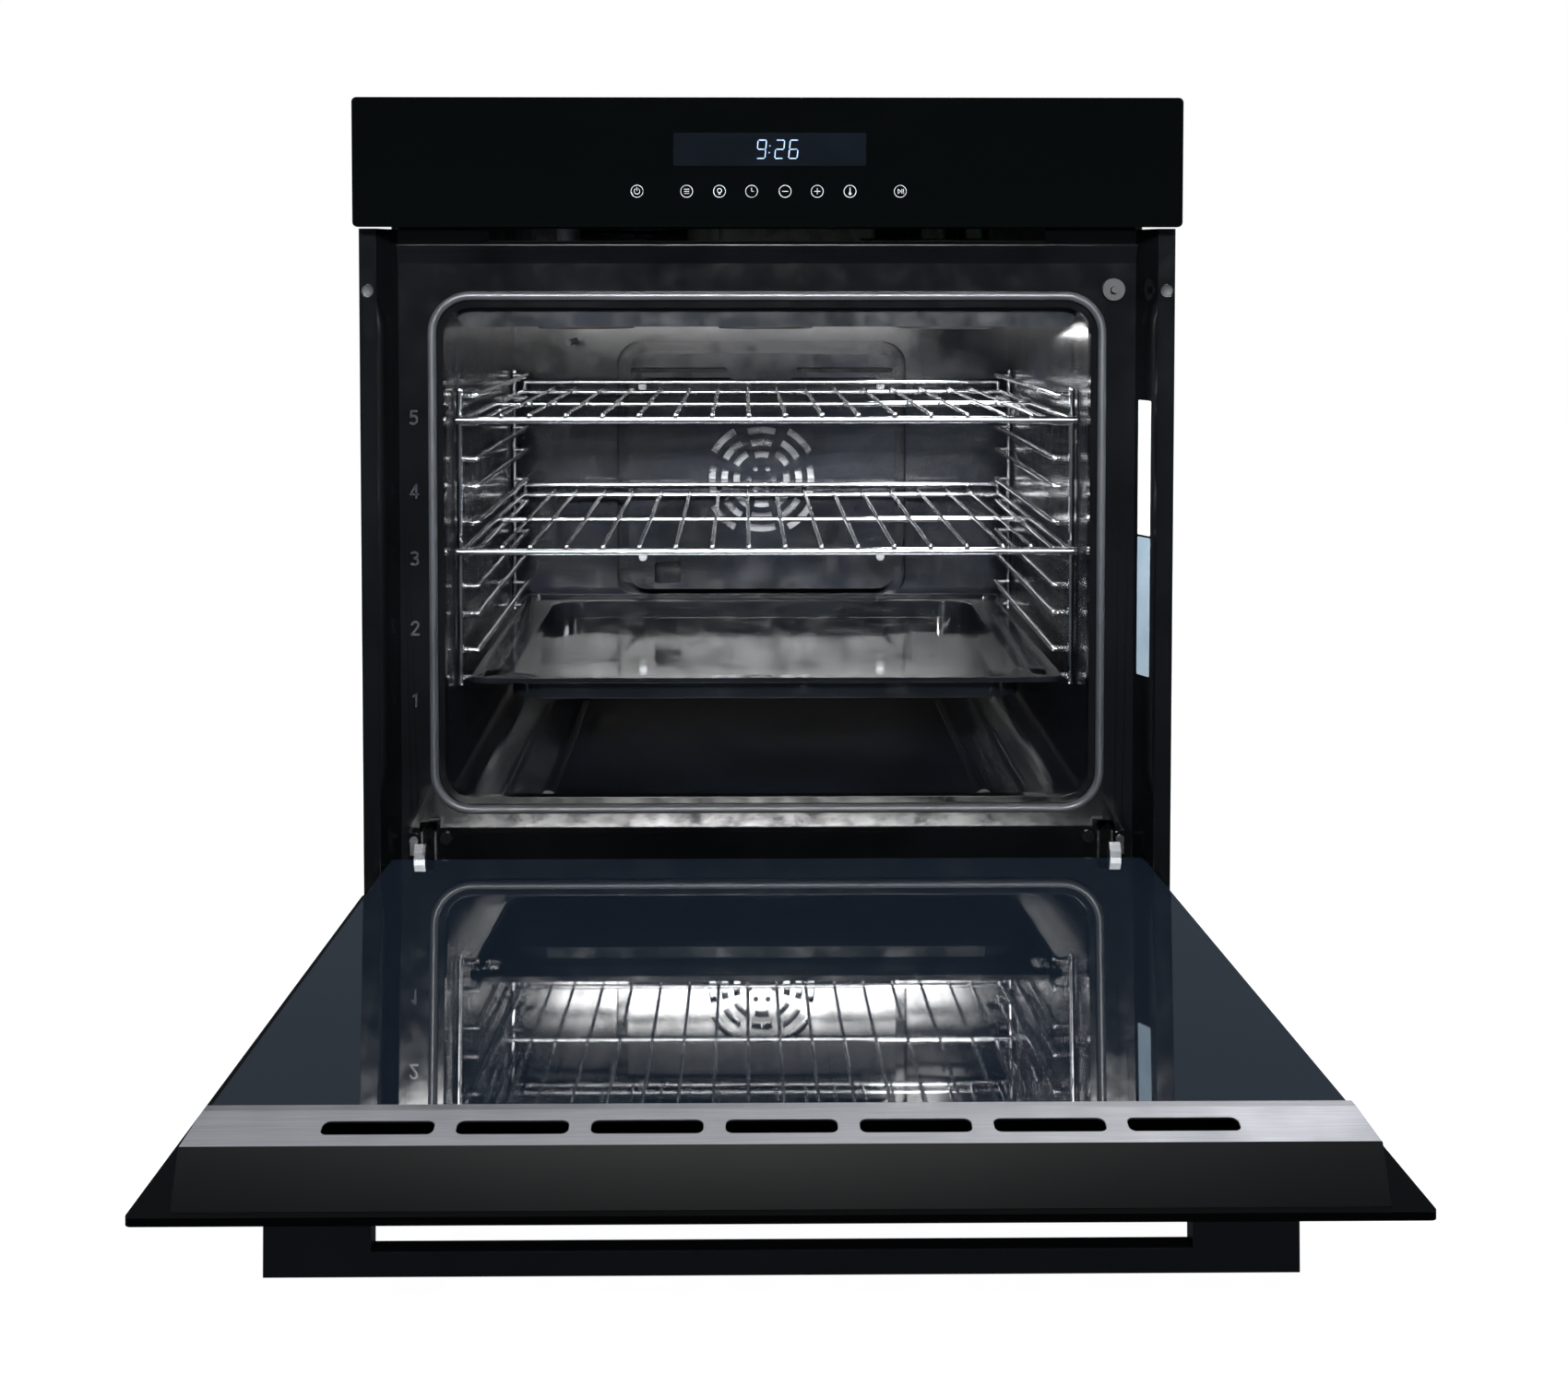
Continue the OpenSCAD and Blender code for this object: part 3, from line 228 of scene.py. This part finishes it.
# Each finish under its slot in the record. The arguments are the dark and the light tone, the lowest and
# the highest roughness, then the real size of the grain and its depth, both in millimetres.
FINISHES = {
    # Bare casing sheet: grey, with a patchwork of zinc crystals that catch the light in turn
    "zinc_sheet": galvanised_sheet(),
    # The fascia: near black and wet-looking, with edges that draw thin bright lines
    "black_enamel": vitreous_enamel("black_vitreous_enamel", "#050607", "#090a0c", 0.06, 0.13, 5.0, 0.03),
    # Walls of the cavity: a little greyer and softer in its gloss, so that it spreads the lamp
    "cavity_enamel": vitreous_enamel(
        "cavity_vitreous_enamel", "#0c0f13", "#141820", 0.16, 0.26, 9.0, 0.03
    ),
    # Bright wires with a hard highlight along each one
    "chrome_wire": drawn_metal(
        "chrome_plated_wire", "#d0d3d6", "#eceef0", 0.1, 0.22, 0.8, "Y", depth=0.002
    ),
    # The grey bead round the mouth, with a soft sheen on its crown
    "seal_rubber": moulded("extruded_silicone", "#2c2f33", "#373a3f", 0.34, 0.46, 1.2, 0.03),
    # Heater tubes that have been hot
    "heater_tube": heater_sheath(),
    # Small pressed steel pieces: light grey with a soft shine
    "plain_steel": drawn_metal("zinc_plated_pressed_steel", "#9a9da0", "#b8bbbe", 0.22, 0.38, 0.7, "X"),
    # Lamp glass, bulb and the middle pane: clear, seen mostly by their reflections
    "clear_glass": float_glass("clear_toughened_glass", "#eef4f2", 0.0, 0.03, transmission=1.0),
    # Panel and outer door glass: black, with a sharp but weak mirror image
    "black_glass": float_glass("toughened_glass_printed_black_behind", "#020303", 0.02, 0.05, sheen=0.2),
    # Inner door glass: its heat-reflecting coat gives a strong, blue-grey mirror image
    "tinted_glass": float_glass("heat_reflecting_toughened_glass", "#18212c", 0.012, 0.04, coat=1.0),
    # The blanket between the cavity and the casing
    "mineral_wool": mineral_wool(),
    # Glass-filled nylon: dull black with a fine grain
    "dark_plastic": moulded("glass_filled_nylon_moulding", "#121315", "#1a1b1e", 0.45, 0.6, 0.9, 0.03),
    # The window in front of the clock: smooth and nearly black
    "display": moulded("dark_acrylic_display_face", "#04070b", "#070b11", 0.04, 0.06, 2.0, 0.001),
    # Boards behind the panel and under the roof
    "circuit_board": circuit_board(),
    # Thermoset housings: ivory and matt
    "white_plastic": moulded("ivory_thermoset_moulding", "#c9c5b6", "#d8d4c6", 0.4, 0.52, 1.0, 0.02),
    # Collar and pin of the door switch: dull dark grey
    "grey_plastic": moulded("grey_acetal_moulding", "#101215", "#17191c", 0.6, 0.7, 1.0, 0.02),
    # The slotted trim: pale grey, with lines too fine to part, so its highlight is one broad band
    "satin_aluminium": drawn_metal("satin_anodised_aluminium", "#96979c", "#a5a6ab", 0.5, 0.62, 0.6, "X"),
    # Door profiles: nearly black, with a soft satin sheen
    "dark_profile": moulded("dark_anodised_aluminium", "#0a0b0c", "#0f1012", 0.34, 0.46, 0.7, 0.015),
}

# Touch keys: dim grey lines on the black glass
ICON_PRINT = backlit_print("grey_backlit_print", ("#7b8086", "#8d9298"), 0.2)
# The clock's lit segments
DIGIT_GLOW = backlit_print("pale_blue_led_segments", ("#5f83b4", "#7799c6"), 0.35)
# The tray: the blackest and wettest enamel, which mirrors what stands over it
TRAY_ENAMEL = vitreous_enamel("tray_vitreous_enamel", "#0a0c0f", "#101317", 0.06, 0.14, 7.0, 0.04)
# The handle: the same finish as the profiles, with its base painted lighter to stand in for the light its
# faces catch: a painted sheen
HANDLE_FINISH_PAINTED_LIGHTER = moulded("satin_black_anodised_handle_painted_sheen", "#2c2e32", "#34363a", 0.36, 0.48, 0.7, 0.015)
# Plugs in the strips' screw holes: dull black
SOFT_PLUG = moulded("black_rubber_plug", "#090a0b", "#0e0f11", 0.55, 0.7, 0.9, 0.02)
# Raised figures: the fascia's black enamel, painted greyer so that the figures stand out: a painted
# highlight
RAISED_FIGURE_PAINTED_HIGHLIGHT = vitreous_enamel(
    "enamel_on_raised_figure_painted_highlight", "#2a2d31", "#3a3e43", 0.1, 0.2, 5.0, 0.03
)
# Blank paper label: flat white
WHITE_LABEL = moulded("white_paper_label", "#dddfe0", "#e9eaea", 0.5, 0.62, 0.6, 0.01)
# Blank film label: pale blue with a faint shine
BLUE_LABEL = moulded("pale_blue_film_label", "#8fa3b2", "#a3b5c2", 0.35, 0.5, 0.8, 0.01)
# Blackened screws by the hinges: dark, with a metal glint
BLACK_SCREW = moulded("black_oxide_screw", "#141517", "#1e1f22", 0.3, 0.42, 0.8, 0.01, metallic=0.8)

for part in frame["record"]["subparts"]:
    node = frame["nodes"][part["node"]]
    node.data.materials.clear()
    node.data.materials.append(FINISHES[part["material_slot"]])
for name, finish in (("fascia_screws", BLACK_SCREW), ("tray", TRAY_ENAMEL), ("handle_bar", HANDLE_FINISH_PAINTED_LIGHTER)):
    frame["nodes"][name].data.materials[0] = finish


def soften(names, radius_mm):
    """Rounds the sharp edges of pressed, cut or drawn pieces, after their loose triangles are joined."""
    for name in names:
        piece = frame["nodes"][name]
        joined = piece.modifiers.new("joined", "WELD")
        joined.merge_threshold = 0.002 * MM
        rounded = piece.modifiers.new("rounded", "BEVEL")
        rounded.width = radius_mm * MM
        rounded.segments = 2
        rounded.limit_method = "ANGLE"
        rounded.angle_limit = math.radians(40)
        rounded.harden_normals = True


soften(("panel_glass", "door_glass", "door_inner_glass"), 0.6)
soften(("handle_bar",), 0.5)
soften(("slotted_trim",), 0.2)
soften(("front_frame", "tray"), 0.4)


def keep(bm, name, finish, body, smooth_below=40):
    """Makes the finished mesh a piece that rides on a body."""
    bmesh.ops.remove_doubles(bm, verts=bm.verts, dist=0.001 * MM)
    bmesh.ops.recalc_face_normals(bm, faces=bm.faces)
    for face in bm.faces:
        face.smooth = True
    for edge in bm.edges:
        edge.smooth = edge.is_manifold and edge.calc_face_angle(0) < math.radians(smooth_below)
    mesh = bpy.data.meshes.new(name)
    bm.to_mesh(mesh)
    bm.free()
    piece = bpy.data.objects.new(name, mesh)
    bpy.context.scene.collection.objects.link(piece)
    mesh.materials.append(finish)
    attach(piece, body)
    return piece


def bar(bm, start, end, width, rise):
    """A flat line in X and Z between two points, with round ends, raised towards the room."""
    start, end = Vector((start[0], 0, start[1])), Vector((end[0], 0, end[1]))
    run = end - start
    turn = Matrix.Rotation(-math.atan2(run.z, run.x), 4, "Y")
    size = Matrix.Diagonal((run.length, rise, width, 1))
    bmesh.ops.create_cube(bm, size=1, matrix=Matrix.Translation((start + end) / 2) @ turn @ size)
    for tip in (start, end):
        upright = Matrix.Translation(tip) @ Matrix.Rotation(math.pi / 2, 4, "X")
        round_end = {"segments": 12, "radius1": width / 2, "radius2": width / 2, "depth": rise * 0.98}
        bmesh.ops.create_cone(bm, cap_ends=True, matrix=upright, **round_end)


def arc(bm, centre, radius, width, rise, first=0, sweep=360):
    """A flat ring or part of one in X and Z."""
    corners = []
    for across, up in ((-1, -1), (1, -1), (1, 1), (-1, 1)):
        corners.append(bm.verts.new((centre[0] + radius + across * width / 2, up * rise / 2, centre[1])))
    cut = bm.faces.new(corners)
    middle = (centre[0], 0, centre[1])
    bmesh.ops.rotate(bm, verts=corners, cent=middle, matrix=Matrix.Rotation(-math.radians(first), 3, "Y"))
    full = sweep >= 360
    section = [cut] + list(cut.edges) + corners
    turn = {"cent": middle, "axis": (0, -1, 0), "angle": math.radians(sweep)}
    bmesh.ops.spin(bm, geom=section, steps=max(8, sweep // 10), use_merge=full, **turn)
    if full:
        bmesh.ops.delete(bm, geom=[f for f in bm.faces if f == cut], context="FACES_ONLY")


def lines(bm, points, width, rise):
    for start, end in zip(points, points[1:]):
        bar(bm, start, end, width, rise)


def shift(bm, x, y, z, turn=0.0):
    """Turns what is drawn about Z, sets it in place and scales it to metres."""
    turned = Matrix.Rotation(math.radians(turn), 4, "Z") @ Matrix.Scale(MM, 4)
    bmesh.ops.transform(bm, matrix=Matrix.Translation(Vector((x, y, z)) * MM) @ turned, verts=bm.verts)


def pull_out(bm, faces, distance):
    """Extrudes faces along Z."""
    grown = bmesh.ops.extrude_face_region(bm, geom=faces)["geom"]
    moved = [part for part in grown if isinstance(part, bmesh.types.BMVert)]
    bmesh.ops.translate(bm, verts=moved, vec=(0, 0, distance))


def face_room(bm):
    """Tips what is drawn flat, with its front up, so that its front faces the room."""
    bmesh.ops.rotate(bm, verts=bm.verts, matrix=Matrix.Rotation(math.pi / 2, 3, "X"))


# ---- Camera: as high as the top of the mouth, nearly square to the front, 2 degrees down ----

camera = bpy.data.objects.new("camera", bpy.data.cameras.new("camera"))
bpy.context.scene.collection.objects.link(camera)
bpy.context.scene.camera = camera
bpy.context.scene.view_settings.view_transform = "Standard"
camera.data.sensor_width = 36
camera.data.lens = 39.73
camera.data.shift_x = 0.0153
camera.data.shift_y = -0.2185
camera.location = (-0.0177, -1.262, 0.457)
camera.rotation_euler = (math.radians(88.0), 0, math.radians(-0.54))

# ---- Light: soft boxes above, beside and behind, and small ones inside the cavity ----


def soft_box(name, place, target, width, height, power, spread=180):
    """A rectangular light at a place, turned towards a target, in metres, watts and degrees."""
    lamp = bpy.data.lights.new(name, "AREA")
    lamp.shape, lamp.size, lamp.size_y, lamp.energy = "RECTANGLE", width, height, power
    lamp.spread = math.radians(spread)
    box = bpy.data.objects.new(name, lamp)
    bpy.context.scene.collection.objects.link(box)
    box.location = place
    box.rotation_euler = (Vector(target) - Vector(place)).to_track_quat("-Z", "Y").to_euler()


soft_box("overhead", (0.0, -0.1, 2.3), (0, 0.0, 0.2), 3.0, 1.4, 40)
# Stands above the camera and lights only the mouth, so that the black panel doesn't mirror it
soft_box("into_mouth", (0.0, -2.3, 1.2), (0, 0.45, 0.26), 1.8, 0.26, 10, spread=24)
soft_box("left_side", (-2.2, -0.3, 1.5), (0, 0.2, 0.3), 1.2, 1.2, 18)
soft_box("right_side", (2.2, -0.3, 1.5), (0, 0.2, 0.3), 1.2, 1.2, 18)
soft_box("rear_fill", (0.6, 2.6, 2.9), (0, 0.4, 0.3), 2.0, 1.4, 80)
# The oven's lamp on the right, and the light that its glossy walls throw back from the roof and the floor
soft_box("oven_lamp", (0.15, 0.3, 0.44), (0.02, 0.25, 0.1), 0.12, 0.12, 1.6)
soft_box("cavity_glow", (-0.02, 0.05, 0.428), (0, 0.5, 0.2), 0.42, 0.03, 0.6, spread=140)
soft_box("low_glow", (0.0, 0.06, 0.072), (0, 0.3, 0.4), 0.4, 0.02, 0.2, spread=140)

# A white backdrop that only the camera sees: what the glass mirrors is a dim, bluish room
world = bpy.data.worlds.new("studio")
bpy.context.scene.world = world
world.use_nodes = True
sky = world.node_tree
sky.nodes.clear()
ray = add(sky, "ShaderNodeLightPath")
room = add(sky, "ShaderNodeBackground", Color=linear("#b9c4d2"), Strength=0.12)
backdrop = add(sky, "ShaderNodeBackground", Color=linear("#ffffff"), Strength=1.0)
shown = ray.outputs["Is Camera Ray"]
seen = add(sky, "ShaderNodeMixShader", Fac=shown, in1=room.outputs[0], in2=backdrop.outputs[0])
add(sky, "ShaderNodeOutputWorld", Surface=seen.outputs["Shader"])

# The floor: white paper that runs on into the backdrop and isn't mirrored in the door
floor_mesh = bmesh.new()
bmesh.ops.create_grid(floor_mesh, x_segments=1, y_segments=1, size=30)
floor_data = bpy.data.meshes.new("floor")
floor_mesh.to_mesh(floor_data)
floor_mesh.free()
floor = bpy.data.objects.new("floor", floor_data)
bpy.context.scene.collection.objects.link(floor)
paper, paper_tree, paper_shader, paper_place = surface("matt_white_paper")
fleck = add(paper_tree, "ShaderNodeTexNoise", Vector=paper_place, Scale=40.0, Detail=2.0)
tones = [(0.3, linear("#fdfdfd")), (0.7, linear("#ffffff"))]
pale = add(paper_tree, "ShaderNodeValToRGB", {"stops": tones}, Fac=fleck.outputs["Fac"])
paper_shader.inputs["Base Color"].default_value = linear("#6a6c70")
wire(paper_tree, paper_shader, Emission_Color=pale)
paper_shader.inputs["Emission Strength"].default_value = 1.0
paper_shader.inputs["Roughness"].default_value = 0.9
floor_data.materials.append(paper)
floor.visible_glossy = False
floor.visible_diffuse = False

# ---- Control panel: eight touch keys, the display window and its clock ----

# The face of the panel glass, the height of the keys, and how wide and proud a printed line is
PANEL_FACE = -20.0
KEY_Z = 528.0
LINE, RISE = 0.42, 0.12


def key_ring(bm):
    arc(bm, (0, 0), 4.3, LINE, RISE)


def power_key(bm):
    key_ring(bm)
    arc(bm, (0, 0), 2.0, LINE, RISE, 120, 300)
    bar(bm, (0, 0.3), (0, 2.6), LINE, RISE)


def programme_key(bm):
    key_ring(bm)
    for z in (-1.5, 0, 1.5):
        bar(bm, (-1.7, z), (1.7, z), LINE, RISE)


def lamp_key(bm):
    key_ring(bm)
    arc(bm, (0, 0.5), 1.5, LINE, RISE)
    bar(bm, (-0.7, -1.9), (0.7, -1.9), LINE, RISE)


def clock_key(bm):
    key_ring(bm)
    lines(bm, [(0, 2.4), (0, 0), (1.6, 0)], LINE, RISE)


def minus_key(bm):
    key_ring(bm)
    bar(bm, (-2, 0), (2, 0), LINE, RISE)


def plus_key(bm):
    key_ring(bm)
    bar(bm, (-2, 0), (2, 0), LINE, RISE)
    bar(bm, (0, -2), (0, 2), LINE, RISE)


def heat_key(bm):
    key_ring(bm)
    bar(bm, (0, 2.4), (0, -0.8), LINE * 1.4, RISE)
    arc(bm, (0, -1.6), 0.7, LINE * 1.3, RISE)


def start_key(bm):
    key_ring(bm)
    lines(bm, [(-1.6, 1.6), (0.4, 0), (-1.6, -1.6), (-1.6, 1.6)], LINE, RISE)
    bar(bm, (1.2, 1.5), (1.2, -1.5), LINE, RISE)
    bar(bm, (2.3, 1.5), (2.3, -1.5), LINE, RISE)


# Where each key stands across the panel
KEYS = (
    (-94, power_key),
    (-58.5, programme_key),
    (-35, lamp_key),
    (-12, clock_key),
    (12, minus_key),
    (35, plus_key),
    (58.5, heat_key),
    (94.5, start_key),
)
for x, draw in KEYS:
    drawing = bmesh.new()
    draw(drawing)
    shift(drawing, x, PANEL_FACE - RISE / 2, KEY_Z)
    keep(drawing, "print_" + draw.__name__, ICON_PRINT, "cabinet")


def rounded_plate(name, width, height, thick, finish, place, turn=0.0):
    """A thin plate with round corners, which faces the room before it is turned."""
    bm = bmesh.new()
    size = Matrix.Diagonal((width, height, 1, 1))
    bmesh.ops.create_grid(bm, x_segments=1, y_segments=1, size=0.5, matrix=size)
    corner = {"offset": 1.0, "segments": 6, "profile": 0.5, "affect": "VERTICES", "material": -1}
    bmesh.ops.bevel(bm, geom=bm.verts[:], **corner)
    pull_out(bm, bm.faces[:], thick)
    face_room(bm)
    shift(bm, *place, turn=turn)
    keep(bm, name, finish, "cabinet")


CLOCK_Z = 558.0
window_place = (1, PANEL_FACE, CLOCK_Z)
rounded_plate("display_window", 138, 23.5, 0.06, FINISHES["display"], window_place)

# The seven segments of a figure, in shares of its width and height
SEGMENTS = {
    "a": ((0.12, 1), (0.88, 1)),
    "b": ((1, 0.94), (1, 0.56)),
    "c": ((1, 0.44), (1, 0.06)),
    "d": ((0.12, 0), (0.88, 0)),
    "e": ((0, 0.06), (0, 0.44)),
    "f": ((0, 0.56), (0, 0.94)),
    "g": ((0.12, 0.5), (0.88, 0.5)),
}
LIT = {"9": "abcdfg", "2": "abged", "6": "acdefg"}


def clock_digits():
    """Seven-segment figures that lean a little, with a colon after the first."""
    wide, high, lean = 6, 13, 1.2
    bm = bmesh.new()
    for figure, left in (("9", -13.5), ("2", -0.5), ("6", 9.5)):
        for letter in LIT[figure]:
            ends = [(left + x * wide + z * lean, (z - 0.5) * high) for x, z in SEGMENTS[letter]]
            bar(bm, *ends, 0.7, RISE)
    for z in (-2.4, 2.4):
        bar(bm, (-4.2 + z * 0.09, z), (-4.1 + z * 0.09, z), 1.0, RISE)
    shift(bm, 5, PANEL_FACE - 0.1, CLOCK_Z)
    keep(bm, "clock_digits", DIGIT_GLOW, "cabinet")


clock_digits()

# ---- Fascia: raised level numbers, and the two blank labels on the right reveal ----

FASCIA = 20.0
# The strokes of each raised figure, in shares of its width and height
FIGURES = {
    "1": [[(0.2, 0.78), (0.55, 1), (0.55, 0)]],
    "2": [[(0.08, 0.78), (0.28, 0.97), (0.6, 1.0), (0.86, 0.86), (0.84, 0.62), (0.08, 0), (0.92, 0)]],
    "3": [
        [(0.1, 0.93), (0.5, 1.0), (0.84, 0.88), (0.82, 0.64), (0.42, 0.54)],
        [(0.42, 0.54), (0.86, 0.42), (0.88, 0.14), (0.5, 0.0), (0.08, 0.08)],
    ],
    "4": [[(0.72, 0), (0.72, 1), (0.04, 0.28), (0.96, 0.28)]],
    "5": [
        [(0.86, 1), (0.2, 1), (0.14, 0.56), (0.5, 0.64)],
        [(0.5, 0.64), (0.86, 0.48), (0.86, 0.16), (0.5, 0), (0.08, 0.08)],
    ],
}
for level, z in enumerate((152, 206, 258, 308, 363), 1):
    drawing = bmesh.new()
    for stroke in FIGURES[str(level)]:
        lines(drawing, [((a - 0.5) * 6, (b - 0.5) * 9.6) for a, b in stroke], 1.5, 0.7)
    shift(drawing, -262, FASCIA - 0.3, z)
    name = "raised_number_%d" % level
    # The raised figures carry a painted highlight: their enamel is painted greyer than the fascia's
    keep(drawing, name, RAISED_FIGURE_PAINTED_HIGHLIGHT, "cabinet", smooth_below=60)


def blanking_plug(side, x):
    """A push-in plug in the side strip's screw hole, with a raised rim round a dished middle."""
    bm = bmesh.new()
    bmesh.ops.create_circle(bm, cap_ends=True, segments=36, radius=4.4)
    pull_out(bm, bm.faces[:], 0.8)
    front = [f for f in bm.faces if f.normal.z > 0.9]
    bmesh.ops.inset_region(bm, faces=front, thickness=1.1)
    bmesh.ops.translate(bm, verts=list({v for f in front for v in f.verts}), vec=(0, 0, -0.5))
    face_room(bm)
    shift(bm, x, -0.9, 457)
    keep(bm, "blanking_plug_" + side, SOFT_PLUG, "cabinet")


blanking_plug("left", -291)
blanking_plug("right", 291)

# The right reveal slopes, so the labels on it are turned with it
REVEAL_TURN = -63.0
REVEAL_X, REVEAL_Y = 278.2, 10
LABELS = (("white_label", 100, WHITE_LABEL, 326), ("blue_label", 103, BLUE_LABEL, 223))
for name, height, finish, z in LABELS:
    rounded_plate(name, 14, height, 0.1, finish, (REVEAL_X, REVEAL_Y, z), REVEAL_TURN)
